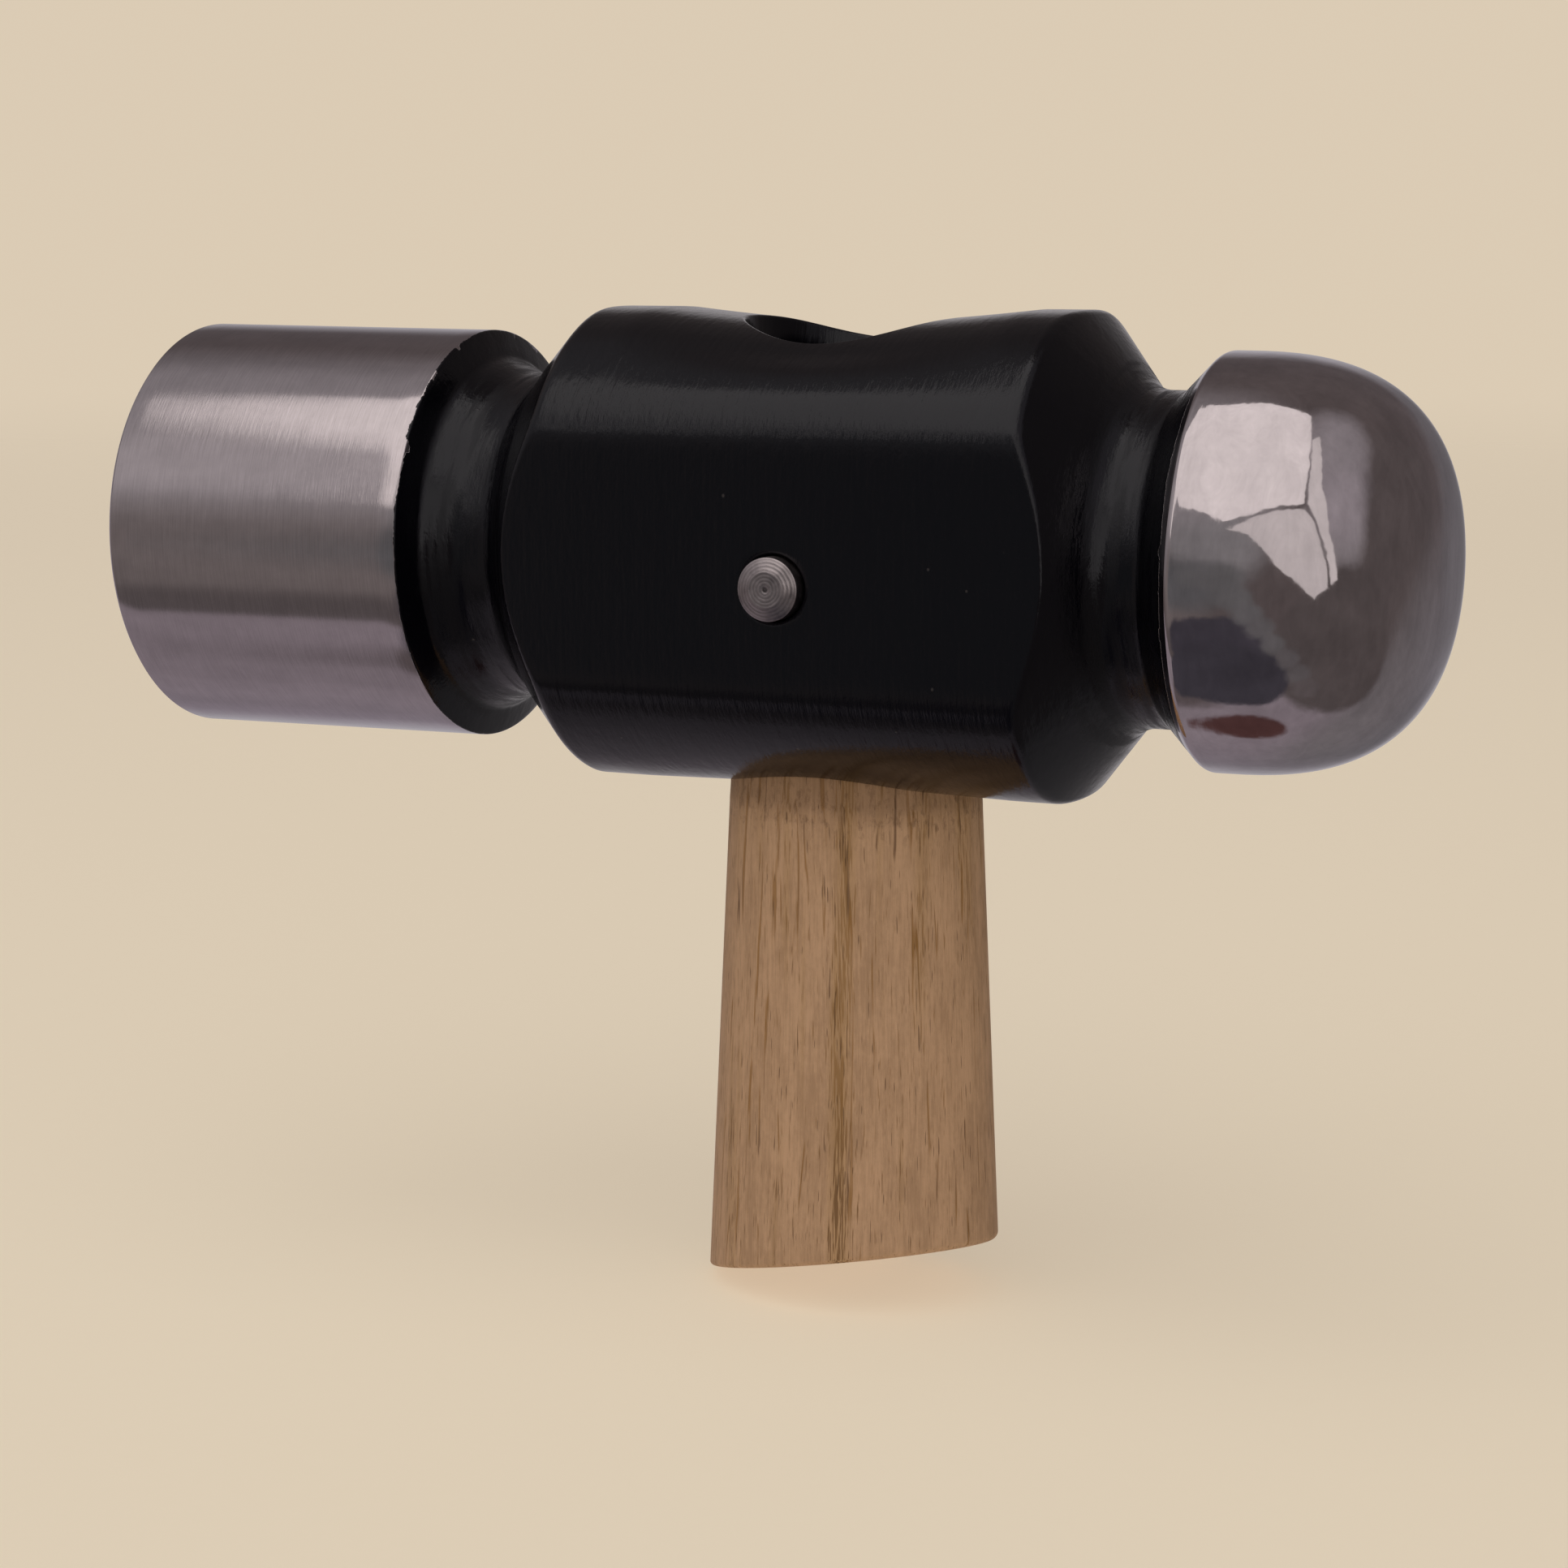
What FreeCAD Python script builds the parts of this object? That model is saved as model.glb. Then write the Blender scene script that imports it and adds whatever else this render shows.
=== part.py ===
# Ball peen hammer: forged steel head with a 38 mm striking face, ash or hickory handle, wedges and
# a cross pin.
#
# Frame, in millimetres: the origin is the centre of the striking face. +X runs along the head from
# the face to the ball, Y runs across the cheeks, and +Z is up, so the handle hangs down along -Z.
import FreeCAD, Part
import math
import os

# ---- Head, lengths along X, stacked from the striking face to the tip of the ball ----
poll_length = 30.5             # ground cylinder behind the striking face
poll_step_run = 1.0            # steep step behind the poll's rear edge
poll_undercut_run = 3.0        # bevel from the step down to the neck
poll_neck_run = 3.8            # bottom of the groove on the poll side
rim_flank_run = 2.3            # steep flank from the groove up to the body's rim
shoulder_run = 3.9             # bevel from the rim to the full body
shoulder_to_eye = 22.7         # full body, up to the eye's centre
eye_to_cone = 21.5             # full body, beyond the eye's centre
cone_run = 5.9                 # cone from the body down to the ball's neck
ball_neck_run = 3.6            # bottom of the groove on the ball side
ball_back_run = 3.4            # cone from the neck out to the ball
ball_land = 0.8                # short cylinder before the dome
dome_length = 18.7             # from the widest part of the ball to its tip

# ---- Head, radii about X ----
face_radius = 19.25            # striking face end of the poll
poll_rear_radius = 19.0        # rear edge of the poll
poll_step_radius = 16.4        # foot of the steep step
poll_neck_radius = 15.0
rim_radius = 18.2              # crisp rim where the body starts
body_radius = 22.1
ball_neck_radius = 14.6
ball_radius = 18.05
dome_power = 2.68              # superellipse power of the dome, 2 is an ellipse

# ---- Head, edge treatments ----
face_chamfer = 0.4
poll_step_fillet = 1.2
poll_undercut_fillet = 4.0
rim_flank_fillet = 3.0
shoulder_fillet = 1.8
cone_top_fillet = 2.0
cone_foot_fillet = 6.5
ball_neck_fillet = 1.2
ball_edge_fillet = 1.0

# ---- Flats on the body ----
cheek_flat_depth = 3.25        # milled off the round body at the front and at the back
crown_flat_depth = 0.75        # milled off the top and the bottom
flat_edge_fillet = 3.0         # softens the eight long edges of the flats
saddle_top_depth = 1.2         # shallow scoop round the mouth of the eye in the crown
saddle_bottom_depth = 0.3      # and a fainter one underneath
saddle_half_length = 16.0

# ---- Eye: an oval hole along Z, narrowest at its waist ----
eye_top_half_length = 10.0     # half sizes along X
eye_waist_half_length = 9.7
eye_bottom_half_length = 11.8
eye_top_half_width = 9.4       # half sizes along Y
eye_waist_half_width = 8.7
eye_bottom_half_width = 9.2
eye_waist_height = 4.0         # above the head's axis
cut_margin = 2.0               # how far cutting tools run past the faces that they open

# ---- Handle ----
handle_top_half_length = 12.0  # oval just below the head
handle_top_half_width = 9.4
handle_end_half_length = 14.0  # oval at the butt
handle_end_half_width = 10.9
handle_flare_run = 2.0         # from the eye's mouth to the oval just below the head
handle_drop = 65.6             # from the head's axis to the middle of the butt
butt_angle = 10.2              # degrees, the butt is sawn lower on the poll's side
butt_side_angle = 8.5          # degrees, and lower at the back
butt_fillet = 0.6
tenon_recess = 4.0             # top of the tenon below the crown of the head
tenon_clearance = 0.05

# ---- Wooden wedge, along X in the tenon's kerf ----
wood_wedge_top_thickness = 4.0
wood_wedge_foot_thickness = 1.2
wood_wedge_over_pin = 1.5      # wood left between the kerf's foot and the pin
wood_wedge_clearance = 0.02

# ---- Steel wedges, driven across the wooden one ----
steel_wedge_width = 11.0
steel_wedge_depth = 11.0
steel_wedge_top_thickness = 2.0
steel_wedge_foot_thickness = 0.4
steel_wedge_spacing = 9.6      # between the two wedges
steel_wedge_clearance = 0.02

# ---- Cross pin, along Y through both cheeks and the tenon ----
pin_radius = 2.75
pin_drop = 1.9                 # pin's axis below the head's axis
pin_stand_out = 1.35           # proud of each cheek
pin_end_bevel_height = 0.45
pin_end_flat_radius = 1.55
pin_clearance = 0.02
pin_bore_chamfer = 0.25

# ---- Places that follow from the sizes above ----
groove_start = poll_length + poll_step_run + poll_undercut_run
eye_x = groove_start + poll_neck_run + rim_flank_run + shoulder_run + shoulder_to_eye
cheek_half_width = body_radius - cheek_flat_depth
crown_height = body_radius - crown_flat_depth
tenon_top = crown_height - tenon_recess
kerf_foot = pin_radius - pin_drop + wood_wedge_over_pin


def point(x, y, z):
    return FreeCAD.Vector(x, y, z)


def polygon_face(points):
    """Flat face inside the closed polygon."""
    return Part.Face(Part.makePolygon(points + points[:1]))


def rounded_outline(corners):
    """Edges in the XZ plane through (x, radius, fillet) corners.

    Each inner corner is replaced by an arc tangent to both legs. The arc reaches fillet times the
    tangent of half the turn along each leg, limited to 0.45 of the shorter leg.
    """
    edges = []
    start = point(corners[0][0], 0, corners[0][1])
    for before, corner, after in zip(corners, corners[1:], corners[2:]):
        apex = point(corner[0], 0, corner[1])
        back = point(before[0], 0, before[1]) - apex
        ahead = point(after[0], 0, after[1]) - apex
        half_turn = (math.pi - back.getAngle(ahead)) / 2
        reach = min(corner[2] * math.tan(half_turn), 0.45 * min(back.Length, ahead.Length))
        if reach < 1e-6:
            edges.append(Part.makeLine(start, apex))
            start = apex
            continue
        back.normalize()
        ahead.normalize()
        radius = reach / math.tan(half_turn)
        to_centre = back + ahead
        to_centre.normalize()
        first = apex + back * reach
        last = apex + ahead * reach
        middle = apex + to_centre * (radius / math.cos(half_turn) - radius)
        edges.append(Part.makeLine(start, first))
        edges.append(Part.Arc(first, middle, last).toShape())
        start = last
    edges.append(Part.makeLine(start, point(corners[-1][0], 0, corners[-1][1])))
    return edges


def dome_edge(start_x):
    """Quarter superellipse from the ball's widest circle to its tip on the axis."""
    turns = [math.pi / 2 * step / 12 for step in range(13)]
    points = [point(start_x + dome_length * math.sin(turn) ** (2 / dome_power), 0,
                    ball_radius * math.cos(turn) ** (2 / dome_power)) for turn in turns[:-1]]
    points.append(point(start_x + dome_length, 0, 0))
    curve = Part.BSplineCurve()
    curve.interpolate(Points=points, InitialTangent=point(1, 0, 0), FinalTangent=point(0, 0, -1))
    return curve.toShape()


def turned_head():
    """Head as turned: the outline revolved about X, with a full round body."""
    lengths_and_radii = [
        (face_chamfer, face_radius, 0.0),
        (poll_length - face_chamfer, poll_rear_radius, 0.0),
        (poll_step_run, poll_step_radius, poll_step_fillet),
        (poll_undercut_run, poll_neck_radius, poll_undercut_fillet),
        (poll_neck_run, poll_neck_radius, rim_flank_fillet),
        (rim_flank_run, rim_radius, 0.0),
        (shoulder_run, body_radius, shoulder_fillet),
        (shoulder_to_eye + eye_to_cone, body_radius, cone_top_fillet),
        (cone_run, ball_neck_radius, cone_foot_fillet),
        (ball_neck_run, ball_neck_radius, ball_neck_fillet),
        (ball_back_run, ball_radius, ball_edge_fillet),
        (ball_land, ball_radius, 0.0),
    ]
    corners = [(0.0, face_radius - face_chamfer, 0.0)]
    for length, radius, fillet in lengths_and_radii:
        corners.append((corners[-1][0] + length, radius, fillet))
    dome = dome_edge(corners[-1][0])
    tip = point(corners[-1][0] + dome_length, 0, 0)
    outline = [Part.makeLine(point(0, 0, 0), point(0, 0, corners[0][1]))]
    outline += rounded_outline(corners)
    outline += [dome, Part.makeLine(tip, point(0, 0, 0))]
    return Part.Face(Part.Wire(outline)).revolve(point(0, 0, 0), point(1, 0, 0), 360)


def body_envelope():
    """Bar with the body's section: a circle cut by cheek flats and crown flats, edges softened.

    It spans the body between the two necks and is wider than the necks, so the turned head keeps
    its own radius everywhere except where a flat cuts deeper.
    """
    length = eye_x - groove_start + eye_to_cone + cone_run
    bar = Part.makeCylinder(body_radius, length, point(groove_start, 0, 0), point(1, 0, 0))
    slab = Part.makeBox(length, 2 * cheek_half_width, 2 * crown_height,
                        point(groove_start, -cheek_half_width, -crown_height))
    bar = bar.common(slab)
    long_edges = [edge for edge in bar.Edges
                  if abs(edge.tangentAt(edge.FirstParameter).x) > 0.999 and edge.Length > 0.9 * length
                  and not edge.isSeam(edge_face(bar, edge))]
    return bar.makeFillet(flat_edge_fillet, long_edges), length


def edge_face(solid, edge):
    """First face of the solid that the edge bounds."""
    return next(face for face in solid.Faces if any(edge.isSame(other) for other in face.Edges))


def oval(half_length, half_width, height):
    """Closed oval about the eye's axis: an ellipse with its seam on +X."""
    circle = Part.Circle(point(0, 0, 0), point(0, 0, 1), 1.0).toShape()
    stretch = FreeCAD.Matrix()
    stretch.scale(half_length, half_width, 1.0)
    edge = circle.transformGeometry(stretch)
    edge.translate(point(eye_x, 0, height))
    return Part.Wire([edge])


def eye_half_sizes(height):
    """Half length and half width of the eye, straight from mouth to waist to mouth."""
    waist = (eye_waist_half_length, eye_waist_half_width)
    if height >= eye_waist_height:
        mouth = (eye_top_half_length, eye_top_half_width)
        share = (height - eye_waist_height) / (crown_height - eye_waist_height)
    else:
        mouth = (eye_bottom_half_length, eye_bottom_half_width)
        share = (eye_waist_height - height) / (eye_waist_height + crown_height)
    share = min(share, 1.0)
    return [inner + share * (outer - inner) for inner, outer in zip(waist, mouth)]


def eye_cutter():
    """Solid of the eye's hole, run past the crown and the underside."""
    heights = [-crown_height - cut_margin, -crown_height, eye_waist_height, crown_height,
               crown_height + cut_margin]
    return Part.makeLoft([oval(*eye_half_sizes(height), height) for height in heights], True, True)


def saddle_cutter(side, depth):
    """Cylinder along Y that scoops the crown, side +1, or the underside, side -1."""
    radius = (saddle_half_length ** 2 + depth ** 2) / (2 * depth)
    centre = side * (crown_height - depth + radius)
    reach = body_radius + cut_margin
    return Part.makeCylinder(radius, 2 * reach, point(eye_x, -reach, centre), point(0, 1, 0))


def pin_bore(radius, chamfer_face):
    """Bore for the cross pin, with a small chamfer where it opens in each cheek."""
    reach = chamfer_face + cut_margin
    axis_point = point(eye_x, -reach, -pin_drop)
    bore = Part.makeCylinder(radius, 2 * reach, axis_point, point(0, 1, 0))
    for side in (-1, 1):
        mouth = point(eye_x, side * chamfer_face, -pin_drop)
        cone = Part.makeCone(radius + pin_bore_chamfer, radius, pin_bore_chamfer, mouth,
                             point(0, -side, 0))
        bore = bore.fuse(cone)
    return bore


def hammer_head():
    turned = turned_head()
    envelope, length = body_envelope()
    reach = body_radius + cut_margin
    body_zone = Part.makeBox(length, 2 * reach, 2 * reach, point(groove_start, -reach, -reach))
    milled_off = body_zone.cut(envelope)
    head = turned.cut(milled_off)
    head = head.cut(saddle_cutter(1, saddle_top_depth)).cut(saddle_cutter(-1, saddle_bottom_depth))
    head = head.cut(eye_cutter())
    return head.cut(pin_bore(pin_radius + pin_clearance, cheek_half_width))


def tapered_plate(top_thickness, foot_thickness, top, foot, width, along_x, x, clearance):
    """Wedge: a trapezium, thickest at the top, carried along X or along Y and centred on x, y = 0.

    The clearance thickens it on each side and lowers its foot. The top is run past by the cut
    margin where there is clearance, so that it cuts its slot open.
    """
    rise = cut_margin if clearance else 0.0
    growth = (top_thickness - foot_thickness) / (top - foot)
    upper = top_thickness / 2 + growth * rise / 2 + clearance
    lower = foot_thickness / 2 + clearance
    low, high = foot - clearance, top + rise
    half = width / 2 + clearance
    outline = [(-lower, low), (lower, low), (upper, high), (-upper, high)]
    if along_x:
        face = polygon_face([point(x - half, across, z) for across, z in outline])
        return face.extrude(point(2 * half, 0, 0))
    face = polygon_face([point(x + across, -half, z) for across, z in outline])
    return face.extrude(point(0, 2 * half, 0))


def wood_wedge_plate(clearance):
    width = 2 * (eye_top_half_length + eye_waist_half_length)
    return tapered_plate(wood_wedge_top_thickness, wood_wedge_foot_thickness, tenon_top, kerf_foot,
                         width, True, eye_x, clearance)


def steel_wedge_plate(side, clearance):
    return tapered_plate(steel_wedge_top_thickness, steel_wedge_foot_thickness, tenon_top,
                         tenon_top - steel_wedge_depth, steel_wedge_width, False,
                         eye_x + side * steel_wedge_spacing / 2, clearance)


def tenon_core():
    """Tenon before its kerf is sawn: the eye's own shape less the clearance."""
    ovals = []
    for height in (-crown_height, eye_waist_height, tenon_top):
        half_length, half_width = eye_half_sizes(height)
        ovals.append(oval(half_length - tenon_clearance, half_width - tenon_clearance, height))
    return Part.makeLoft(ovals, True, True)


def handle_stock():
    """Handle below the head, longer than its drop: straight taper from oval to oval."""
    half_length, half_width = eye_half_sizes(-crown_height)
    top = -crown_height - handle_flare_run
    growth_run = handle_drop + top
    overrun = cut_margin + handle_end_half_length * math.tan(math.radians(butt_angle))
    overrun += handle_end_half_width * math.tan(math.radians(butt_side_angle))
    share = (growth_run + overrun) / growth_run
    low_half_length = handle_top_half_length + share * (handle_end_half_length - handle_top_half_length)
    low_half_width = handle_top_half_width + share * (handle_end_half_width - handle_top_half_width)
    ovals = [
        oval(half_length - tenon_clearance, half_width - tenon_clearance, -crown_height),
        oval(handle_top_half_length, handle_top_half_width, top),
        oval(low_half_length, low_half_width, -handle_drop - overrun),
    ]
    return Part.makeLoft(ovals, True, True)


def butt_cutter():
    """Block whose top face is the slanted butt, lower on the poll's side and at the back."""
    size = 4 * handle_end_half_length + 4 * handle_end_half_width
    block = Part.makeBox(size, size, size, point(eye_x - size / 2, -size / 2, -handle_drop - size))
    middle = point(eye_x, 0, -handle_drop)
    block.rotate(middle, point(0, 1, 0), -butt_angle)
    block.rotate(middle, point(1, 0, 0), -butt_side_angle)
    return block


def butt_edges(solid):
    """Edges that bound the lowest flat face."""
    flats = [face for face in solid.Faces if isinstance(face.Surface, Part.Plane)]
    return min(flats, key=lambda face: face.CenterOfMass.z).Edges


def handle():
    stock = handle_stock().cut(butt_cutter())
    stock = stock.makeFillet(butt_fillet, butt_edges(stock))
    wood = stock.fuse(tenon_core()).removeSplitter()
    wood = wood.cut(wood_wedge_plate(wood_wedge_clearance))
    for side in (-1, 1):
        wood = wood.cut(steel_wedge_plate(side, steel_wedge_clearance))
    reach = body_radius + cut_margin
    bore = Part.makeCylinder(pin_radius + pin_clearance, 2 * reach, point(eye_x, -reach, -pin_drop),
                             point(0, 1, 0))
    return wood.cut(bore)


def wooden_wedge():
    wedge = wood_wedge_plate(0.0).common(tenon_core())
    for side in (-1, 1):
        wedge = wedge.cut(steel_wedge_plate(side, steel_wedge_clearance))
    return wedge


def cross_pin():
    """Turned pin: a cylinder with a shallow bevel round a flat at each end."""
    shank_half = cheek_half_width + pin_stand_out - pin_end_bevel_height
    pin = Part.makeCylinder(pin_radius, 2 * shank_half, point(eye_x, -shank_half, -pin_drop),
                            point(0, 1, 0))
    for side in (-1, 1):
        base = point(eye_x, side * shank_half, -pin_drop)
        pin = pin.fuse(Part.makeCone(pin_radius, pin_end_flat_radius, pin_end_bevel_height, base,
                                     point(0, side, 0)))
    return pin


def save(name, shape):
    """Write one piece, which has to be one valid solid."""
    solids = shape.Solids
    if len(solids) != 1 or not solids[0].isValid():
        raise RuntimeError(f"{name} is {len(solids)} solids, or its solid is not valid")
    solids[0].exportStep(f"parts/{name}.step")
    box = solids[0].BoundBox
    print(f"{name}: {solids[0].Volume / 1000:.2f} cm3, x {box.XMin:.2f} to {box.XMax:.2f},"
          f" y {box.YMin:.2f} to {box.YMax:.2f}, z {box.ZMin:.2f} to {box.ZMax:.2f}")


os.makedirs("parts", exist_ok=True)
save("hammer_head", hammer_head())
save("handle", handle())
save("wooden_wedge", wooden_wedge())
save("steel_wedge_poll_side", steel_wedge_plate(-1, 0.0))
save("steel_wedge_ball_side", steel_wedge_plate(1, 0.0))
save("cross_pin", cross_pin())
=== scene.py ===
"""Ball peen hammer: the visible pieces, their finishes and a plain studio, built round the CAD frame.

Metres, in the CAD's frame: the origin is the centre of the striking face, +X runs to the ball and +Z
is up. The head is one surface over (row, turn): row runs along the head from the face to the ball,
and turn is the angle about the head's axis, 0 at the front cheek and a quarter turn at the crown.
"""
import math

import bpy
import numpy as np
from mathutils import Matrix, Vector


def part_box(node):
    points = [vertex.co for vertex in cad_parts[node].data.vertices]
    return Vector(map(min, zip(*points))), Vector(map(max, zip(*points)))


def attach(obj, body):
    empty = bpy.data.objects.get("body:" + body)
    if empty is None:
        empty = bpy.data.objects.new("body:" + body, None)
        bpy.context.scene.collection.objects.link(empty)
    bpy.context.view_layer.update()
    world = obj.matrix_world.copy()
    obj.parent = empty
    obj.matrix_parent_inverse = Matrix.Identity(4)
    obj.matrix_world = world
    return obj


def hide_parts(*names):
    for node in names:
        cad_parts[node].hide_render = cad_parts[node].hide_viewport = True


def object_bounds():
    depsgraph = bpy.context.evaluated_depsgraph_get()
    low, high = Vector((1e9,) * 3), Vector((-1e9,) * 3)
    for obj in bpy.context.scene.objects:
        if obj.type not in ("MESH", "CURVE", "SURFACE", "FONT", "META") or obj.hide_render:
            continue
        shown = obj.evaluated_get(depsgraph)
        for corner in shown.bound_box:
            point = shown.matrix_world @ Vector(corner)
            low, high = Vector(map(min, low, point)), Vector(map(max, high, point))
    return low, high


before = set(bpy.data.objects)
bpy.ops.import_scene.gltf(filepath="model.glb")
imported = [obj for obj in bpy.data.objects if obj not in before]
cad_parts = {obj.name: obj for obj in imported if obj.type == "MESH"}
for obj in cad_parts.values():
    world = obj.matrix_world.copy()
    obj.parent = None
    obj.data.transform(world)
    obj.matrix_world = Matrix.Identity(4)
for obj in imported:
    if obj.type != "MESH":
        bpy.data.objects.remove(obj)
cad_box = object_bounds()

MM = 0.001

# ---- Places from the frame ----
head_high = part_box("hammer_head")[1]
pin_low, pin_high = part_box("cross_pin")
CROWN = head_high[2]
BALL_TIP = head_high[0]
TENON_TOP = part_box("handle")[1][2]
EYE_X = (pin_low[0] + pin_high[0]) / 2
PIN_Z = (pin_low[2] + pin_high[2]) / 2
PIN_RADIUS = (pin_high[0] - pin_low[0]) / 2
PIN_HALF_LENGTH = pin_high[1]

# ---- Head: lengths along X, then radii ----
POLL_LENGTH = 30.5 * MM
POLL_STEP_RUN = 1.0 * MM
POLL_UNDERCUT_RUN = 3.0 * MM
POLL_NECK_RUN = 3.8 * MM
RIM_FLANK_RUN = 2.3 * MM
SHOULDER_RUN = 3.9 * MM
EYE_TO_CONE = 21.5 * MM
CONE_RUN = 5.9 * MM
BALL_NECK_RUN = 3.6 * MM
BALL_BACK_RUN = 3.4 * MM
BALL_LAND = 0.8 * MM
FACE_RADIUS = 19.25 * MM
POLL_REAR_RADIUS = 19.0 * MM
POLL_STEP_RADIUS = 16.4 * MM
POLL_NECK_RADIUS = 15.0 * MM
RIM_RADIUS = 18.2 * MM
BODY_RADIUS = 22.1 * MM
BALL_NECK_RADIUS = 14.6 * MM
BALL_RADIUS = 18.05 * MM
DOME_POWER = 2.68
FACE_CHAMFER = 0.4 * MM
CHEEK_HALF_WIDTH = 18.85 * MM
CROWN_PLANE = CROWN + 0.26 * MM      # before the long edges are softened, which lowers it to the crown
LONG_EDGE_SOFTNESS = 0.9 * MM
SADDLE_TOP_DEPTH = 1.3 * MM
SADDLE_BOTTOM_DEPTH = 0.3 * MM
SADDLE_HALF_LENGTH = 17.5 * MM
SADDLE_HALF_WIDTH = 17.0 * MM
SADDLE_SIDE_RUN = 6.0 * MM           # from the full depth to none, across Y
SADDLE_POWER = 1.5

# ---- Eye, handle and pin ----
EYE_TOP = (10.0 * MM, 9.4 * MM)      # half length along X, half width along Y
EYE_WAIST = (9.7 * MM, 8.7 * MM)
EYE_BOTTOM = (11.8 * MM, 9.2 * MM)
EYE_WAIST_Z = 4.0 * MM
EYE_LIP = 0.35 * MM
TENON_GAP = 0.05 * MM
TENON_SINK = 0.15 * MM               # tenon's end grain below the tops of the wedges
TENON_CHAMFER = 0.3 * MM
HANDLE_TOP = (11.85 * MM, 9.3 * MM)
HANDLE_END = (13.8 * MM, 10.75 * MM)
HANDLE_FLARE_RUN = 2.0 * MM
HANDLE_DROP = 65.6 * MM
BUTT_SLOPE_X = 0.182                 # the butt rises towards the ball
BUTT_SLOPE_Y = -0.149                # and towards the front
BUTT_ROUNDING = (0.35 * MM, 0.9 * MM)  # at the poll's side, at the ball's side
PIN_BEVEL_RADIUS = 1.55 * MM
PIN_BEVEL_HEIGHT = 0.45 * MM
PIN_DIMPLE_RADIUS = 0.3 * MM
PIN_DIMPLE_DEPTH = 0.05 * MM
PIN_BORE_GAP = 0.12 * MM
PIN_BORE_CHAMFER = 0.3 * MM
PIN_BORE_DEPTH = 1.5 * MM

# ---- Edges between the head's zones, as x ----
POLL_STEP_X = POLL_LENGTH + POLL_STEP_RUN
UNDERCUT_FOOT_X = POLL_STEP_X + POLL_UNDERCUT_RUN
RIM_FLANK_FOOT_X = UNDERCUT_FOOT_X + POLL_NECK_RUN
RIM_X = RIM_FLANK_FOOT_X + RIM_FLANK_RUN
CONE_TOP_X = EYE_X + EYE_TO_CONE
CONE_FOOT_X = CONE_TOP_X + CONE_RUN
BALL_BACK_X = CONE_FOOT_X + BALL_NECK_RUN
BALL_EDGE_X = BALL_BACK_X + BALL_BACK_RUN
DOME_X = BALL_EDGE_X + BALL_LAND

# ---- Grid of the head ----
TURNS = 360
FACE_POLE_RADIUS = 0.4 * MM          # first ring of the striking face
DOME_ROWS = 45
DOME_CROWDING = 1.5                  # power that crowds the dome's rows towards its tip
LEAST_COSINE = 0.05                  # keeps a flat's distance finite beside its own plane
LONGEST_REACH = 0.45                 # an arc takes at most this share of its shorter leg
EYE_PATCH_TURN = math.radians(46)    # half the patch round the eye, about the crown
EYE_PATCH_REACH = 14.5 * MM          # half the patch along X
EYE_PATCH_RINGS = 18
EYE_PATCH_CROWDING = 1.7             # power that crowds the rings towards the lip
EYE_LIP_RINGS = 5
EYE_WALL_RINGS = 13
SECTION_SAMPLES = 2001               # of the body's section, to read the crown's height from
PIN_PATCH_REACH = 5.2 * MM
PIN_PATCH_RINGS = 8

# ---- Places on the head's finish, in millimetres ----
POLL_PAINT_X = (POLL_LENGTH - 0.05 * MM) / MM
BALL_PAINT_X = (BALL_EDGE_X - 0.7 * MM) / MM
STEEL_SPLIT_X = 80.0                 # under the paint, where the poll's steel gives way to the ball's
GRAIN_RADIUS = 18.0                  # circle that the steel's grain and the brush marks follow

# ---- Marks in the handle's wood, in millimetres from the eye's axis ----
STREAK_X = 2.9
SECOND_STREAK_X = 9.0
CREASE_DROP = CROWN / MM + 2.0


# ======== Meshes ========

class Surface:
    """Points and faces gathered from grids. Seen from outside, a grid's columns step to the left of the
    way that its rows go, so that every face points outwards."""

    def __init__(self):
        self.points = []
        self.faces = []
        self.count = 0

    def add(self, points):
        """Adds an array of points, shaped (..., 3), and gives their numbers in the same shape."""
        points = np.asarray(points)
        numbers = self.count + np.arange(points[..., 0].size).reshape(points.shape[:-1])
        self.points.append(points.reshape(-1, 3))
        self.count += numbers.size
        return numbers

    def quads(self, numbers, keep=None, closed=False):
        """Faces over a grid of point numbers. closed joins the last column to the first."""
        if closed:
            numbers = np.concatenate([numbers, numbers[:, :1]], axis=1)
        quads = np.stack([numbers[:-1, :-1], numbers[1:, :-1], numbers[1:, 1:], numbers[:-1, 1:]], -1)
        self.faces.append(quads.reshape(-1, 4) if keep is None else quads[keep])

    def fan(self, ring, centre):
        """Triangles from a ring of point numbers to one centre point."""
        centre_number = self.add(np.array([centre]))
        tips = np.full(len(ring), centre_number[0])
        self.faces.append(np.stack([ring, np.roll(ring, -1), tips], -1))

    def piece(self, name, material, smooth=True):
        """The finished mesh object."""
        faces = [face for block in self.faces for face in block.tolist()]
        piece = mesh_object(name, np.concatenate(self.points).tolist(), faces, material)
        piece.data.polygons.foreach_set("use_smooth", np.full(len(faces), smooth))
        piece.data.update()
        return piece


def mesh_object(name, points, faces, material):
    """Object at the origin with a mesh of these points and faces."""
    mesh = bpy.data.meshes.new(name)
    mesh.from_pydata(points, [], faces)
    mesh.materials.append(material)
    made = bpy.data.objects.new(name, mesh)
    bpy.context.collection.objects.link(made)
    return made


def smooth_step(share):
    """Three times the square of a share from 0 to 1, less twice its cube."""
    return share * share * (3 - 2 * share)


def soft_minimum(first, second, softness):
    """Smaller of two arrays, blended where they meet: half of their sum less the root of their
    squared difference plus the squared softness."""
    return (first + second - np.sqrt((first - second) ** 2 + softness ** 2)) / 2


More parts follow.
